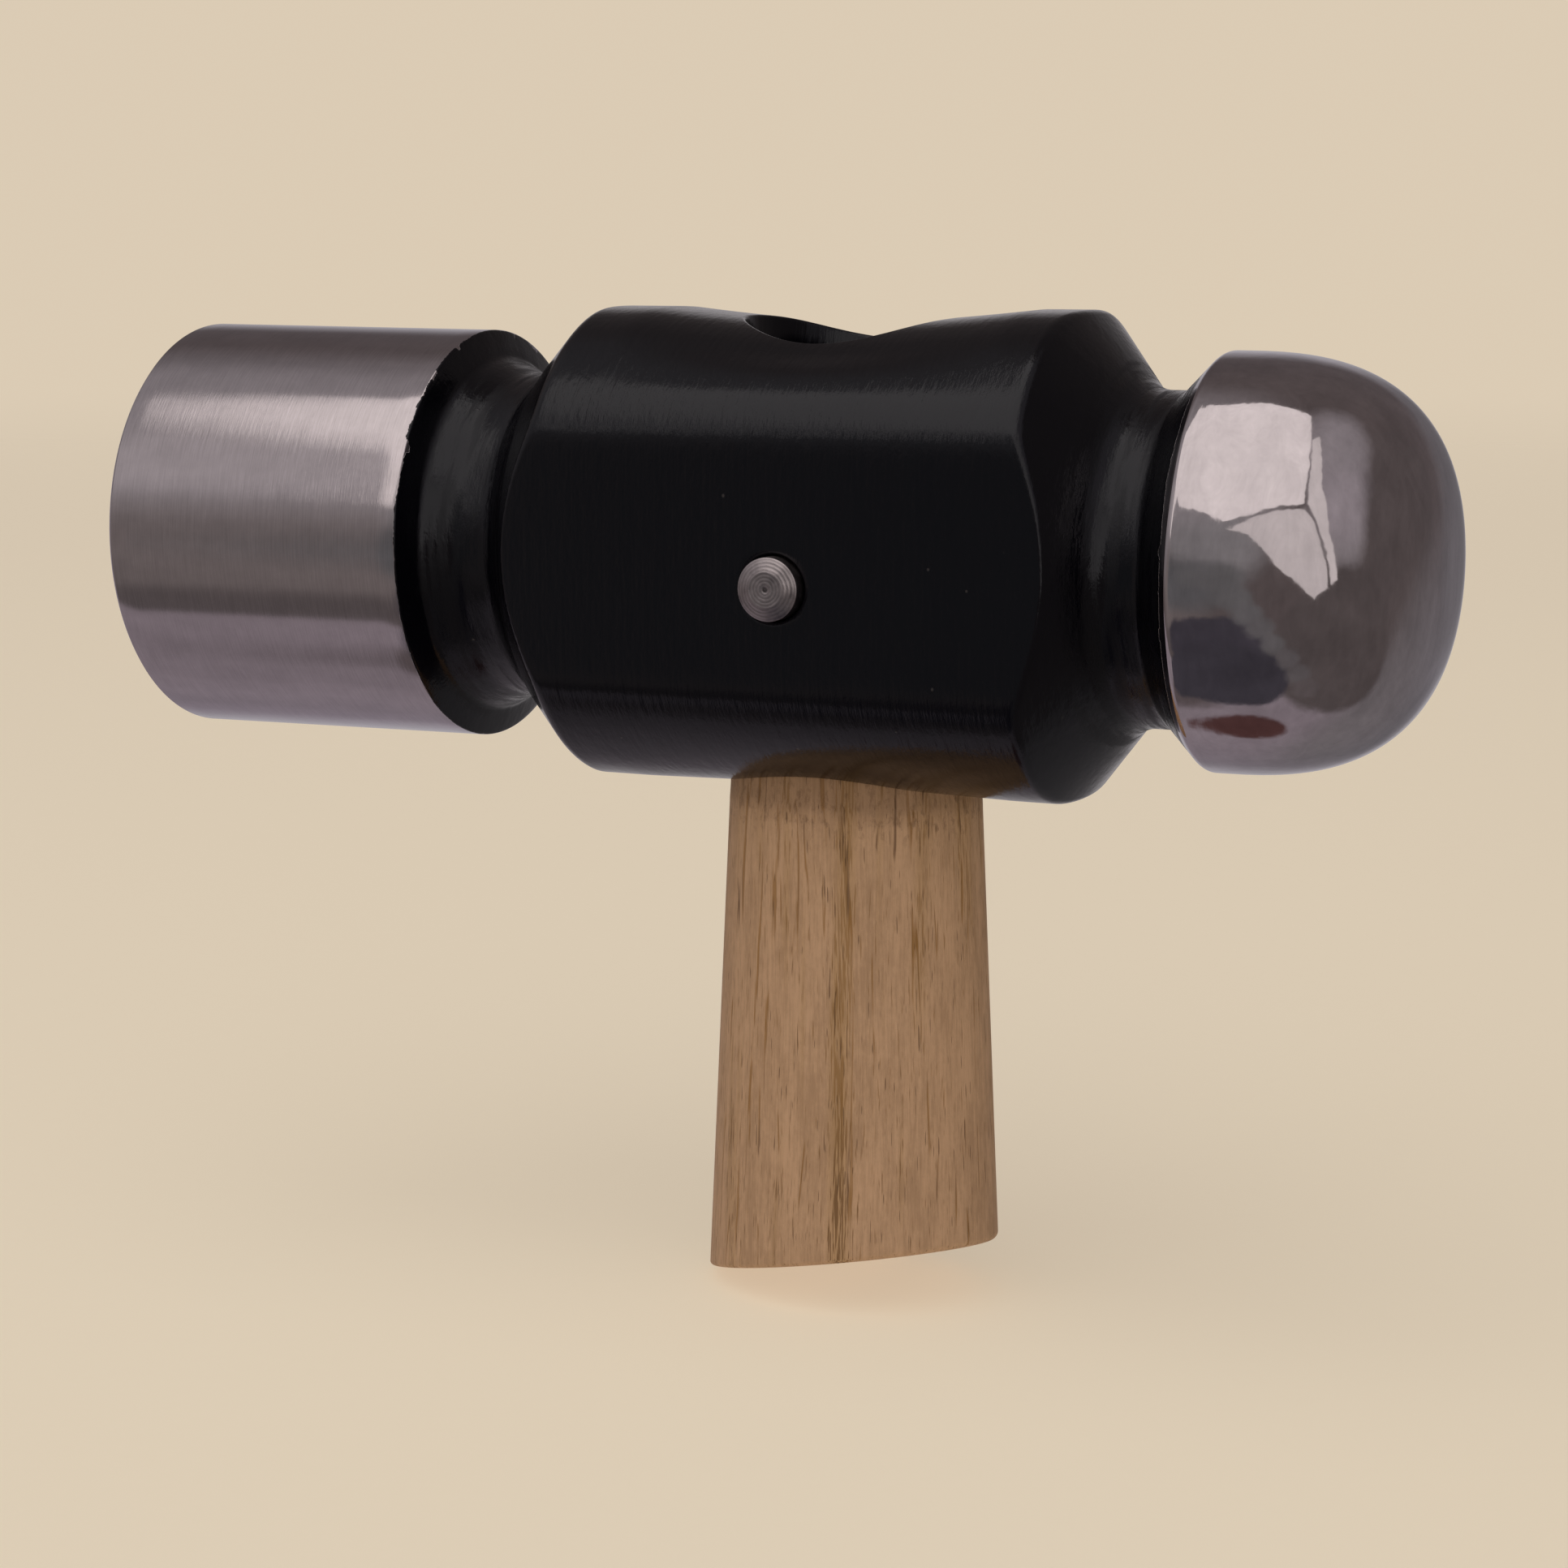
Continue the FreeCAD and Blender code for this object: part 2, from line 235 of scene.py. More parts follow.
def section_radius(turn):
    """Body's radius at each turn: the round bar cut by the cheek flats and the crown flats. A flat at
    distance d is d over the cosine of the turn from its own normal."""
    cheek = CHEEK_HALF_WIDTH / np.maximum(np.abs(np.cos(turn)), LEAST_COSINE)
    crown = CROWN_PLANE / np.maximum(np.abs(np.sin(turn)), LEAST_COSINE)
    flats = np.minimum(cheek, crown)
    return soft_minimum(BODY_RADIUS, flats, LONG_EDGE_SOFTNESS)


def saddle(x, y, side):
    """Depth of the scoop round the eye's mouth in the crown (side 1) or underneath (side -1):
    greatest beside the eye, fading to nothing along X with the given power, and across Y by a smooth
    step."""
    along = np.clip(1 - (np.abs(x - EYE_X) / SADDLE_HALF_LENGTH) ** SADDLE_POWER, 0, None)
    across = np.clip((SADDLE_HALF_WIDTH - np.abs(y)) / SADDLE_SIDE_RUN, 0, 1)
    depth = np.where(side > 0, SADDLE_TOP_DEPTH, SADDLE_BOTTOM_DEPTH)
    return depth * along * smooth_step(across)


def blended_outline(corners, fillets, leg_steps, arc_steps):
    """Rows of points along an outline, for every turn at once.

    corners holds an (x, radius) pair of arrays for each corner. Each leg is split evenly, and each
    inner corner becomes a circular arc: the rational curve with its ends on the legs, its middle
    control point at the corner, and the cosine of half the turn as that point's weight.
    """
    corners = np.array(corners)
    rows = []
    start = corners[0]
    for index in range(1, len(corners)):
        apex = corners[index]
        if index == len(corners) - 1:
            first, arc = apex, []
        else:
            back, ahead = corners[index - 1] - apex, corners[index + 1] - apex
            back_length, ahead_length = (np.sqrt((leg ** 2).sum(axis=0)) for leg in (back, ahead))
            back, ahead = back / back_length, ahead / ahead_length
            half_turn = (math.pi - np.arccos(np.clip((back * ahead).sum(axis=0), -1, 1))) / 2
            reach = np.minimum(fillets[index] * np.tan(half_turn),
                               LONGEST_REACH * np.minimum(back_length, ahead_length))
            first, last = apex + back * reach, apex + ahead * reach
            weight = np.cos(half_turn)
            shares = np.linspace(0, 1, arc_steps[index] + 1)[1:]
            arc = [((1 - t) ** 2 * first + 2 * t * (1 - t) * weight * apex + t ** 2 * last)
                   / ((1 - t) ** 2 + 2 * t * (1 - t) * weight + t ** 2) for t in shares]
        steps = leg_steps[index - 1]
        rows += [start + (first - start) * step / steps for step in range(1, steps + 1)]
        rows += arc
        start = arc[-1] if arc else apex
    return np.array([corners[0]] + rows)


def head_outline(turn):
    """Rows of (x, radius) for the whole head but its two poles, as an array (rows, 2, turns). The
    dome is a superellipse: the sine and the cosine of an angle, each to 2 over the dome's power, times
    its length and its radius. The angles crowd towards the tip."""
    body = section_radius(turn)
    same = np.ones_like(turn)
    roundness = np.clip((body - CHEEK_HALF_WIDTH) / (BODY_RADIUS - CHEEK_HALF_WIDTH), 0, 1)
    shoulder_slope = (BODY_RADIUS - RIM_RADIUS) / SHOULDER_RUN
    cone_slope = (BODY_RADIUS - BALL_NECK_RADIUS) / CONE_RUN
    legs = [
        # x, radius, fillet, steps on the leg before it, steps on its arc
        (0 * same, FACE_POLE_RADIUS * same, 0.0, 0, 0),
        (0 * same, (FACE_RADIUS - FACE_CHAMFER) * same, 0.15 * MM, 9, 3),
        (FACE_CHAMFER * same, FACE_RADIUS * same, 0.15 * MM, 1, 3),
        (POLL_LENGTH * same, POLL_REAR_RADIUS * same, 0.2 * MM, 16, 4),
        (POLL_STEP_X * same, POLL_STEP_RADIUS * same, 1.2 * MM, 4, 6),
        (UNDERCUT_FOOT_X * same, POLL_NECK_RADIUS * same, 4.0 * MM, 4, 8),
        (RIM_FLANK_FOOT_X * same, POLL_NECK_RADIUS * same, 3.0 * MM, 2, 8),
        (RIM_X * same, RIM_RADIUS * same, 0.25 * MM, 3, 4),
        (RIM_X + (body - RIM_RADIUS) / shoulder_slope, body, (0.45 + 1.1 * roundness) * MM, 5, 7),
        (CONE_TOP_X + (BODY_RADIUS - body) / cone_slope, body, (0.45 + 0.9 * roundness) * MM, 56, 7),
        (CONE_FOOT_X * same, BALL_NECK_RADIUS * same, 6.5 * MM, 6, 12),
        (BALL_BACK_X * same, BALL_NECK_RADIUS * same, 1.2 * MM, 2, 5),
        (BALL_EDGE_X * same, BALL_RADIUS * same, 1.0 * MM, 5, 5),
        (DOME_X * same, BALL_RADIUS * same, 0.0, 1, 0),
    ]
    rows = blended_outline([leg[:2] for leg in legs], [leg[2] for leg in legs],
                           [leg[3] for leg in legs[1:]], [leg[4] for leg in legs])
    shares = np.linspace(0, 1, DOME_ROWS + 2)[1:-1]
    angles = math.pi / 2 * (1 - (1 - shares) ** DOME_CROWDING)
    dome = np.stack([DOME_X + (BALL_TIP - DOME_X) * np.sin(angles) ** (2 / DOME_POWER),
                     BALL_RADIUS * np.cos(angles) ** (2 / DOME_POWER)], -1)
    return np.concatenate([rows, dome[:, :, None] * same])


def eye_half_sizes(height):
    """Half length and half width of the eye, straight from each mouth to the waist."""
    levels = [-CROWN, EYE_WAIST_Z, CROWN]
    return (np.interp(height, levels, [EYE_BOTTOM[0], EYE_WAIST[0], EYE_TOP[0]]),
            np.interp(height, levels, [EYE_BOTTOM[1], EYE_WAIST[1], EYE_TOP[1]]))


def oval_ring(half_sizes, angles, height):
    """Points of an oval about the eye's axis, at the given angles and heights."""
    half_length, half_width = half_sizes
    level = np.broadcast_to(height, angles.shape)
    return np.stack([EYE_X + half_length * np.cos(angles), half_width * np.sin(angles), level], -1)


def patch_loop(rows, columns):
    """Row and column numbers once round a rectangle of the grid."""
    low_row, high_row = rows
    low, high = columns
    sides = [(np.full(high - low, low_row), np.arange(low, high)),
             (np.arange(low_row, high_row), np.full(high_row - low_row, high)),
             (np.full(high - low, high_row), np.arange(high, low, -1)),
             (np.arange(high_row, low_row, -1), np.full(high_row - low_row, low))]
    return (np.concatenate([side[0] for side in sides]), np.concatenate([side[1] for side in sides]))


def eye_mouth(surface, grid, x, y, loop, side):
    """Rings from a gap's edge to the eye, on the crown (side 1) or below it (side -1).

    Each ring is the edge moved a share of the way to the oval, at the height of the body's section
    less the saddle. The last few rings are the lip, a quarter circle that turns down into the eye.
    Gives the last ring's numbers, angles and heights.
    """
    turns = np.linspace(0, math.pi, SECTION_SAMPLES)
    section = section_radius(turns)
    half_sizes = EYE_TOP if side > 0 else EYE_BOTTOM
    loop_rows, loop_columns = loop
    edge = np.stack([x[loop_rows, loop_columns] - EYE_X, y[loop_rows, loop_columns]], -1)
    angles = np.arctan2(edge[:, 1] / half_sizes[1], edge[:, 0] / half_sizes[0])
    rim = np.stack([(half_sizes[0] + EYE_LIP) * np.cos(angles),
                    (half_sizes[1] + EYE_LIP) * np.sin(angles)], -1)
    shares = 1 - (1 - np.linspace(0, 1, EYE_PATCH_RINGS + 1)[1:]) ** EYE_PATCH_CROWDING
    flat = edge + (rim - edge) * shares[:, None, None]
    height = np.interp(flat[..., 1], -section * np.cos(turns), section * np.sin(turns))
    height = height - saddle(flat[..., 0] + EYE_X, flat[..., 1], side)
    rings = [np.concatenate([flat + [EYE_X, 0], side * height[..., None]], -1)]
    for tilt in np.linspace(0, math.pi / 2, EYE_LIP_RINGS + 1)[1:]:
        sizes = np.array(half_sizes) + EYE_LIP * (1 - math.sin(tilt))
        drop = EYE_LIP * (1 - math.cos(tilt))
        rings.append(oval_ring(sizes, angles, side * (height[-1] - drop))[None])
    start = grid[loop_rows, (side * loop_columns) % TURNS]
    numbers = np.concatenate([start[None], surface.add(np.concatenate(rings))])
    surface.quads(numbers[:, ::side], closed=True)
    return numbers[-1], angles, rings[-1][0, :, 2]


def eye_wall(surface, top, bottom):
    """Wall of the eye between the last rings of its two mouths, its angles eased from one to the
    other and its half sizes taken at each point's height."""
    (top_ring, top_angles, top_z), (bottom_ring, bottom_angles, bottom_z) = top, bottom
    angle_gap = (bottom_angles - top_angles + math.pi) % (2 * math.pi) - math.pi
    rings = []
    for share in np.linspace(0, 1, EYE_WALL_RINGS + 2)[1:-1]:
        height = top_z + (bottom_z - top_z) * share
        rings.append(oval_ring(eye_half_sizes(height), top_angles + angle_gap * share, height))
    numbers = surface.add(np.array(rings))
    surface.quads(np.concatenate([top_ring[None], numbers, bottom_ring[None]]), closed=True)


def pin_bore(surface, grid, x, z, loop, side):
    """Rings from a gap's edge to the pin's bore in one cheek, then its chamfer, a short wall and a
    flat bottom that the pin hides."""
    loop_rows, loop_columns = loop
    edge = np.stack([x[loop_rows, loop_columns] - EYE_X, z[loop_rows, loop_columns] - PIN_Z], -1)
    angles = np.arctan2(edge[:, 1], edge[:, 0])
    around = np.stack([np.cos(angles), np.sin(angles)], -1)
    bore = PIN_RADIUS + PIN_BORE_GAP
    mouth = bore + PIN_BORE_CHAMFER
    flat = edge + (mouth * around - edge) * np.linspace(0, 1, PIN_PATCH_RINGS + 1)[1:, None, None]
    turn = np.arctan2(flat[..., 1] + PIN_Z, CHEEK_HALF_WIDTH)
    cheek = section_radius(turn) * np.cos(turn)
    rings = [np.stack([flat[..., 0] + EYE_X, side * cheek, flat[..., 1] + PIN_Z], -1)]
    soft = 0.06 * MM                 # rounding of the chamfer's two edges
    for radius, sink in ((mouth - soft, soft / 2), (bore + soft, PIN_BORE_CHAMFER - soft),
                         (bore, PIN_BORE_CHAMFER), (bore, PIN_BORE_DEPTH), (bore / 2, PIN_BORE_DEPTH)):
        depth = np.full(len(angles), side * (cheek[-1].mean() - sink))
        rings.append(np.stack([EYE_X + radius * around[:, 0], depth, PIN_Z + radius * around[:, 1]],
                              -1)[None])
    numbers = np.concatenate([grid[loop_rows, loop_columns][None], surface.add(np.concatenate(rings))])
    surface.quads(numbers, closed=True)
    surface.fan(numbers[-1][::-1], [EYE_X, side * (CHEEK_HALF_WIDTH - PIN_BORE_DEPTH), PIN_Z])


def hammer_head(material):
    """The whole head as one closed surface.

    A point is (x, -radius cos turn, radius sin turn), moved by the saddle towards the axis. The grid
    has rectangular gaps round the eye's two mouths and the pin's two bores, which rings fill.
    """
    turn = 2 * math.pi * np.arange(TURNS) / TURNS
    outline = head_outline(turn)
    x, radius = outline[:, 0], outline[:, 1]
    y, z = -radius * np.cos(turn), radius * np.sin(turn)
    on_body = (x > RIM_X) & (x < CONE_FOOT_X) & (np.abs(z) > EYE_WAIST_Z)
    z = z - np.where(on_body, np.sign(z) * saddle(x, y, z), 0)
    surface = Surface()
    grid = surface.add(np.stack([x, y, z], -1))

    crown_column = TURNS // 4
    half_columns = round(EYE_PATCH_TURN / (2 * math.pi) * TURNS)
    top_columns = (crown_column - half_columns, crown_column + half_columns)
    bottom_columns = (-top_columns[1], -top_columns[0])
    eye_rows = [int(np.argmin(np.abs(x[:, crown_column] - (EYE_X + reach))))
                for reach in (-EYE_PATCH_REACH, EYE_PATCH_REACH)]
    pin_rows = [int(np.argmin(np.abs(x[:, 0] - (EYE_X + reach))))
                for reach in (-PIN_PATCH_REACH, PIN_PATCH_REACH)]
    front_columns = [round(math.atan2(PIN_Z + reach, CHEEK_HALF_WIDTH) / (2 * math.pi) * TURNS)
                     for reach in (-PIN_PATCH_REACH, PIN_PATCH_REACH)]
    back_columns = [TURNS // 2 - column for column in front_columns[::-1]]

    keep = np.ones((len(x) - 1, TURNS), dtype=bool)
    for rows, columns in ((eye_rows, top_columns), (eye_rows, bottom_columns),
                          (pin_rows, front_columns), (pin_rows, back_columns)):
        keep[rows[0]:rows[1], np.arange(columns[0], columns[1]) % TURNS] = False
    surface.quads(grid, keep, closed=True)
    surface.fan(grid[0], [0, 0, 0])
    surface.fan(grid[-1][::-1], [BALL_TIP, 0, 0])

    mouths = [eye_mouth(surface, grid, x, y, patch_loop(eye_rows, top_columns), side)
              for side in (1, -1)]
    eye_wall(surface, *mouths)
    for side, columns in ((-1, front_columns), (1, back_columns)):
        loop_rows, loop_columns = patch_loop(pin_rows, columns)
        pin_bore(surface, grid, x, z, (loop_rows, loop_columns % TURNS), side)

    head = surface.piece("head_forging", material)
    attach(head, "root")
    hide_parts("hammer_head")


def handle_half_sizes(height):
    """Half length and half width of the wood: the eye's own less the gap inside the head, a short
    flare below it, then a straight taper that grows towards the butt."""
    flare_foot = -CROWN - HANDLE_FLARE_RUN
    in_eye = eye_half_sizes(height)
    below = [np.interp(height, [-HANDLE_DROP, flare_foot], [HANDLE_END[axis], HANDLE_TOP[axis]])
             + np.minimum(height + HANDLE_DROP, 0) * (HANDLE_TOP[axis] - HANDLE_END[axis])
             / (flare_foot + HANDLE_DROP) for axis in (0, 1)]
    share = smooth_step(np.clip((height - flare_foot) / HANDLE_FLARE_RUN, 0, 1))
    return [low + (high - TENON_GAP - low) * share for low, high in zip(below, in_eye)]


def handle_stick(material):
    """The handle as one closed tube about the eye's axis.

    Each column drops from the tenon's end to the slanted butt, whose height is a slope times the
    distance along X, plus a slope times the distance along Y, less the drop. The butt's edge is a
    quarter circle, rounder towards the ball, and both ends are closed by shrinking rings.
    """
    turns, end_rows, tenon_rows, flare_rows, wall_rows, rounding_rows = 160, 8, 12, 6, 32, 6
    angles = 2 * math.pi * np.arange(turns) / turns
    top = TENON_TOP - TENON_SINK
    flare_foot = -CROWN - HANDLE_FLARE_RUN

    def ring(height, inset):
        """Oval at a height for each column, pulled in by inset."""
        sizes = handle_half_sizes(height)
        return oval_ring((sizes[0] - inset, sizes[1] - inset), angles, height)

    # The edge's height and the oval's size at that height follow from each other, and soon settle.
    edge_height = np.full(turns, -HANDLE_DROP)
    for _ in range(4):
        half_length, half_width = handle_half_sizes(edge_height)
        edge_height = (BUTT_SLOPE_X * half_length * np.cos(angles)
                       + BUTT_SLOPE_Y * half_width * np.sin(angles) - HANDLE_DROP)
    rounding = np.interp(np.cos(angles), [-1, 1], BUTT_ROUNDING)
    wall_end = edge_height + rounding
    tenon_levels = np.linspace(top - TENON_CHAMFER, -CROWN, tenon_rows)
    flare_levels = np.linspace(-CROWN, flare_foot, flare_rows + 1)[1:]

    first = ring(np.full(turns, top), TENON_CHAMFER)
    middle = np.array([EYE_X, 0, top])
    rows = [middle + (first - middle) * share for share in np.linspace(0.1, 1, end_rows)]
    rows += [ring(np.full(turns, level), 0) for level in (*tenon_levels, *flare_levels)]
    rows += [ring(flare_foot + (wall_end - flare_foot) * share, 0)
             for share in np.linspace(0, 1, wall_rows + 1)[1:]]
    rows += [ring(wall_end - rounding * math.sin(tilt), rounding * (1 - math.cos(tilt)))
             for tilt in np.linspace(0, math.pi / 2, rounding_rows + 1)[1:]]
    last = rows[-1]
    butt_middle = np.array([EYE_X, 0, -HANDLE_DROP])
    rows += [butt_middle + (last - butt_middle) * share
             for share in np.linspace(1, 0.05, end_rows + 1)[1:]]
    surface = Surface()
    grid = surface.add(np.array(rows))
    surface.quads(grid, closed=True)
    surface.fan(grid[0], middle)
    surface.fan(grid[-1][::-1], butt_middle)
    handle = surface.piece("handle_stick", material)
    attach(handle, "root")
    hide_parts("handle")


def turned_pin(material):
    """Cross pin as a profile of (radius, distance from the middle) turned about its own axis: a small
    centre dimple, a flat, a bevel with a soft edge, and the shank, the same at both ends."""
    turns, flat_rows, bevel_rows, shank_rows = 72, 8, 6, 9
    angles = 2 * math.pi * np.arange(turns) / turns
    end = PIN_HALF_LENGTH
    bevel_foot = end - PIN_BEVEL_HEIGHT
    soft = 0.05 * MM                 # rounding of the edges
    half = [(0.5 * PIN_DIMPLE_RADIUS, end - PIN_DIMPLE_DEPTH),
            (PIN_DIMPLE_RADIUS - soft, end - soft),
            (PIN_DIMPLE_RADIUS + soft, end)]
    half += [(radius, end)
             for radius in np.linspace(PIN_DIMPLE_RADIUS + 4 * soft, PIN_BEVEL_RADIUS - soft, flat_rows)]
    half += [(PIN_BEVEL_RADIUS + soft, end - 0.25 * soft)]
    half += [(radius, np.interp(radius, [PIN_BEVEL_RADIUS, PIN_RADIUS], [end, bevel_foot]))
             for radius in np.linspace(PIN_BEVEL_RADIUS + 3 * soft, PIN_RADIUS - soft, bevel_rows)]
    half += [(PIN_RADIUS - 0.3 * soft, bevel_foot - 0.3 * soft), (PIN_RADIUS, bevel_foot - 1.5 * soft)]
    half += [(PIN_RADIUS, height) for height in np.linspace(bevel_foot - 4 * soft, 0, shank_rows)]
    half = np.array(half)
    front = np.stack([half[:, 0], -half[:, 1]], -1)
    profile = np.concatenate([front, half[-2::-1]])
    radius, along = profile[:, 0:1], profile[:, 1:2]
    points = np.stack([EYE_X + radius * np.cos(angles), along + 0 * angles,
                       PIN_Z + radius * np.sin(angles)], -1)
    surface = Surface()
    grid = surface.add(points)
    surface.quads(grid, closed=True)
    surface.fan(grid[0], [EYE_X, -end + PIN_DIMPLE_DEPTH, PIN_Z])
    surface.fan(grid[-1][::-1], [EYE_X, end - PIN_DIMPLE_DEPTH, PIN_Z])
    pin = surface.piece("turned_pin", material)
    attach(pin, "root")
    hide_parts("cross_pin")


# ======== Finishes ========

BLACK = (0.0, 0.0, 0.0)
HEAD_STEEL = (0.615, 0.565, 0.575)
PIN_STEEL = (0.57, 0.515, 0.515)
ENAMEL = (0.0012, 0.0011, 0.0026)
DUST = (0.035, 0.032, 0.034)
WOOD = {"pale": (0.62, 0.405, 0.255), "dark": (0.455, 0.29, 0.175), "honey": (0.42, 0.25, 0.08),
        "ochre": (0.29, 0.15, 0.04), "amber": (0.30, 0.145, 0.028), "brown": (0.13, 0.065, 0.028)}
STEEL_RELIEF = 0.012 * MM            # what a height of 1 stands for, also in the paint
WOOD_RELIEF = 0.06 * MM
WEDGE_RELIEF = 0.08 * MM
PAPER_RELIEF = 0.05 * MM


class Value:
    """A shader socket that Python's operators work on. An expression adds its Math nodes."""

    def __init__(self, finish, socket):
        self.finish = finish
        self.socket = socket

    def math(self, operation, first, second):
        return self.finish.node("ShaderNodeMath", {"operation": operation}, {0: first, 1: second})

    def __add__(self, other):
        return self.math("ADD", self, other)

    def __radd__(self, other):
        return self.math("ADD", other, self)

    def __sub__(self, other):
        return self.math("SUBTRACT", self, other)

    def __rsub__(self, other):
        return self.math("SUBTRACT", other, self)

    def __mul__(self, other):
        return self.math("MULTIPLY", self, other)

    def __rmul__(self, other):
        return self.math("MULTIPLY", other, self)

    def __truediv__(self, other):
        return self.math("DIVIDE", self, other)

    def __rtruediv__(self, other):
        return self.math("DIVIDE", other, self)

    def __pow__(self, other):
        return self.math("POWER", self, other)


class Finish:
    """The nodes of one material or world."""

    def __init__(self, owner):
        owner.use_nodes = True
        self.owner = owner
        self.nodes = owner.node_tree.nodes
        self.links = owner.node_tree.links

    def node(self, kind, settings=None, sockets=None, output=0):
        """Adds a node, sets its settings, then fills its sockets with numbers, colours or Values."""
        node = self.nodes.new(kind)
        for name, setting in (settings or {}).items():
            setattr(node, name, setting)
        for name, value in (sockets or {}).items():
            self.fill(node.inputs[name], value)
        return Value(self, node.outputs[output])

    def fill(self, socket, value):
        """Links a Value to a socket, or sets it to a number, a colour or a vector."""
        if isinstance(value, Value):
            self.links.new(value.socket, socket)
        elif socket.type == "RGBA":
            socket.default_value = (*value, 1) if len(value) == 3 else value
        else:
            socket.default_value = value

    def noise(self, place, scale, detail=2.0, roughness=0.5, distortion=0.0):
        """Soft noise from 0 to 1 about 0.5."""
        return self.node("ShaderNodeTexNoise", None,
                         {"Vector": place, "Scale": scale, "Detail": detail, "Roughness": roughness,
                          "Distortion": distortion})

    def cells(self, place, scale):
        """Distance to the nearest of the points scattered one to a cell."""
        return self.node("ShaderNodeTexVoronoi", None, {"Vector": place, "Scale": scale})

    def ramp(self, value, low, high, from_value=0.0, to_value=1.0):
        """Smooth step of a value between low and high."""
        return self.node("ShaderNodeMapRange", {"interpolation_type": "SMOOTHSTEP"},
                         {"Value": value, "From Min": low, "From Max": high, "To Min": from_value,
                          "To Max": to_value})

    def smaller(self, first, second):
        return self.node("ShaderNodeMath", {"operation": "MINIMUM"}, {0: first, 1: second})

    def larger(self, first, second):
        return self.node("ShaderNodeMath", {"operation": "MAXIMUM"}, {0: first, 1: second})

    def absolute(self, value):
        return self.node("ShaderNodeMath", {"operation": "ABSOLUTE"}, {0: value})

    def blend(self, share, first, second):
        """Mix of two numbers."""
        return first + share * (second - first)

    def colours(self, share, first, second, mode="MIX"):
        """Mix of two colours."""
        return self.node("ShaderNodeMix", {"data_type": "RGBA", "blend_type": mode},
                         {0: share, 6: first, 7: second}, output=2)

    def tint(self, tone, colour):
        """A colour times a tone of up to 2, as a mix from black to the doubled colour."""
        return self.colours(tone * 0.5, BLACK, tuple(2 * part for part in colour))

    def vectors(self, operation, first, second, output=0):
        return self.node("ShaderNodeVectorMath", {"operation": operation}, {0: first, 1: second}, output)

    def stretch(self, place, scale):
        """A place scaled along each axis."""
        return self.vectors("MULTIPLY", place, scale)

    def bump(self, height, reach, strength=1.0):
        """Normal tilted by a height, of which 1 stands for reach in metres."""
        return self.node("ShaderNodeBump", None,
                         {"Height": height, "Strength": strength, "Distance": reach})

    def millimetres(self):
        """Object coordinates in millimetres."""
        place = self.node("ShaderNodeTexCoord", output=3)
        return self.node("ShaderNodeMapping", None, {"Vector": place, "Scale": (1000, 1000, 1000)})

    def split(self, place):
        """The three parts of a vector."""
        node = self.nodes.new("ShaderNodeSeparateXYZ")
        self.fill(node.inputs[0], place)
        return [Value(self, output) for output in node.outputs]

    def join(self, x, y, z):
        return self.node("ShaderNodeCombineXYZ", None, {0: x, 1: y, 2: z})

    def surface(self, **sockets):
        """Sets the Principled shader's sockets: words joined by _ for the sockets' own names."""
        shader = self.nodes["Principled BSDF"]
        for name, value in sockets.items():
            self.fill(shader.inputs[name.replace("_", " ")], value)
        return self.owner


def round_the_axis(finish, place):
    """Coordinates that follow the head's turned surface: the way along it, then the direction about
    the axis as a point on a circle, so that stretched noise makes grain that runs round the head. The
    way along is x, less the radius on the striking face and on the dome's end. Gives the place's x and
    z and its radius too."""
    x, y, z = finish.split(place)
    radius = (y * y + z * z + 0.01) ** 0.5
    circle = GRAIN_RADIUS / radius
    on_ends = finish.ramp(x, 0.05, 0.3, 1.0, 0.0) + finish.ramp(x, DOME_X / MM, BALL_TIP / MM)
    return finish.join(x - radius * on_ends, y * circle, z * circle), x, z, radius


